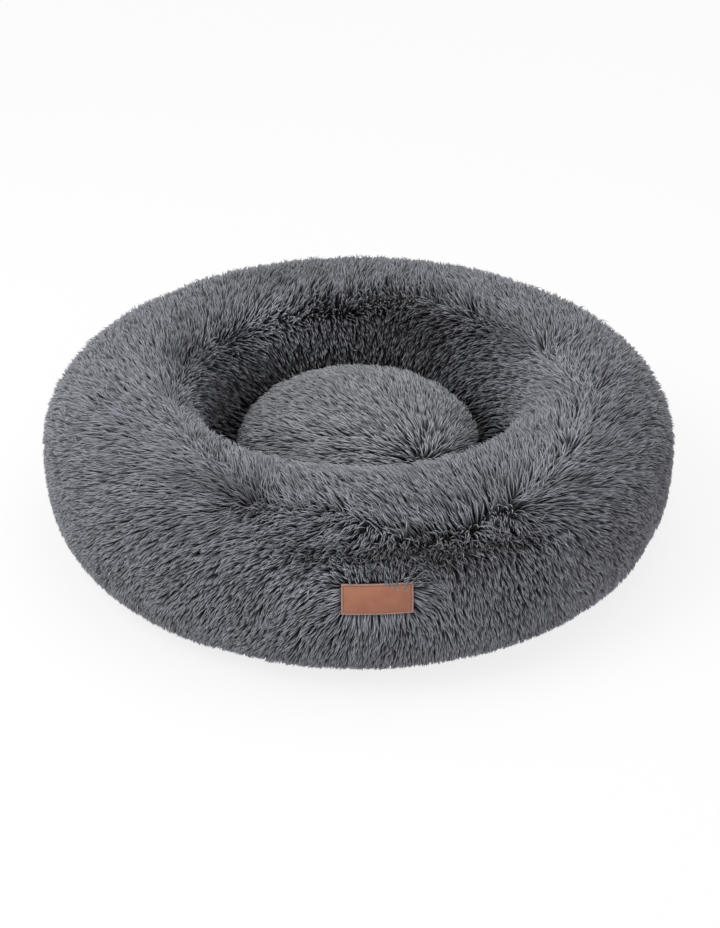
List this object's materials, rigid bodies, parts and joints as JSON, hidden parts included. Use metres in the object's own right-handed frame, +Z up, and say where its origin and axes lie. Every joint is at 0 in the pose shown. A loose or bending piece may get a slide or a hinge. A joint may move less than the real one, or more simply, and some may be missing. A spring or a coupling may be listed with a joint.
{
  "type": "donut pet bed",
  "caption": "Round stuffed plush ring round a deep well with a loose plump cushion, a blank leather patch and a zipped non-slip base, for a pet to sleep in.",
  "frame": {"origin": "on the floor under the middle of the bed", "axes": "+Z up out of the well, +Y towards the back, the leather patch facing -Y"},
  "size_m": [0.7, 0.6991, 0.1898],
  "materials": {
    "plush": "long pile",
    "well_plush": "long pile",
    "cushion_plush": "long pile",
    "woven_cloth": "plain weave",
    "base_cloth": "coated weave with grip dots",
    "binding": "ribbed tape",
    "liner_cloth": "non-woven",
    "fibre": "loose fibre",
    "leather": "satin",
    "zip_nylon": "matte",
    "zip_metal": "satin"
  },
  "bodies": {
    "bed": {"outer_wall_front": "plush", "outer_wall_right": "plush", "outer_wall_back": "plush", "outer_wall_left": "plush", "inner_wall_front": "well_plush", "inner_wall_right": "well_plush", "inner_wall_back": "well_plush", "inner_wall_left": "well_plush", "rim_liner": "liner_cloth", "rim_filling": "fibre", "label": "leather", "base_panel_front": "base_cloth", "base_panel_back": "base_cloth", "base_binding": "binding", "well_floor": "woven_cloth", "zip_tape_front": "zip_nylon", "zip_tape_back": "zip_nylon", "zip_bottom_stop": "zip_metal", "zip_top_stop_front": "zip_metal", "zip_top_stop_back": "zip_metal"},
    "cushion": {"cushion_top": "cushion_plush", "cushion_bottom": "woven_cloth", "cushion_filling": "fibre"},
    "slider": {"zip_slider": "zip_metal"},
    "pull": {"zip_pull": "zip_metal"}
  },
  "joints": [
    {"name": "cushion_lift", "type": "slide", "parent": "bed", "child": "cushion", "axis": [0, 0, 1], "range_m": [0, 0.2]},
    {"name": "zip_slide", "type": "slide", "parent": "bed", "child": "slider", "axis": [-1, 0, 0], "range_m": [0, 0.25]},
    {"name": "pull_swing", "type": "hinge", "parent": "slider", "child": "pull", "pos_m": [0.12595, 0, 0.0072], "axis": [0, -1, 0], "range_deg": [-13, 150]}
  ]
}
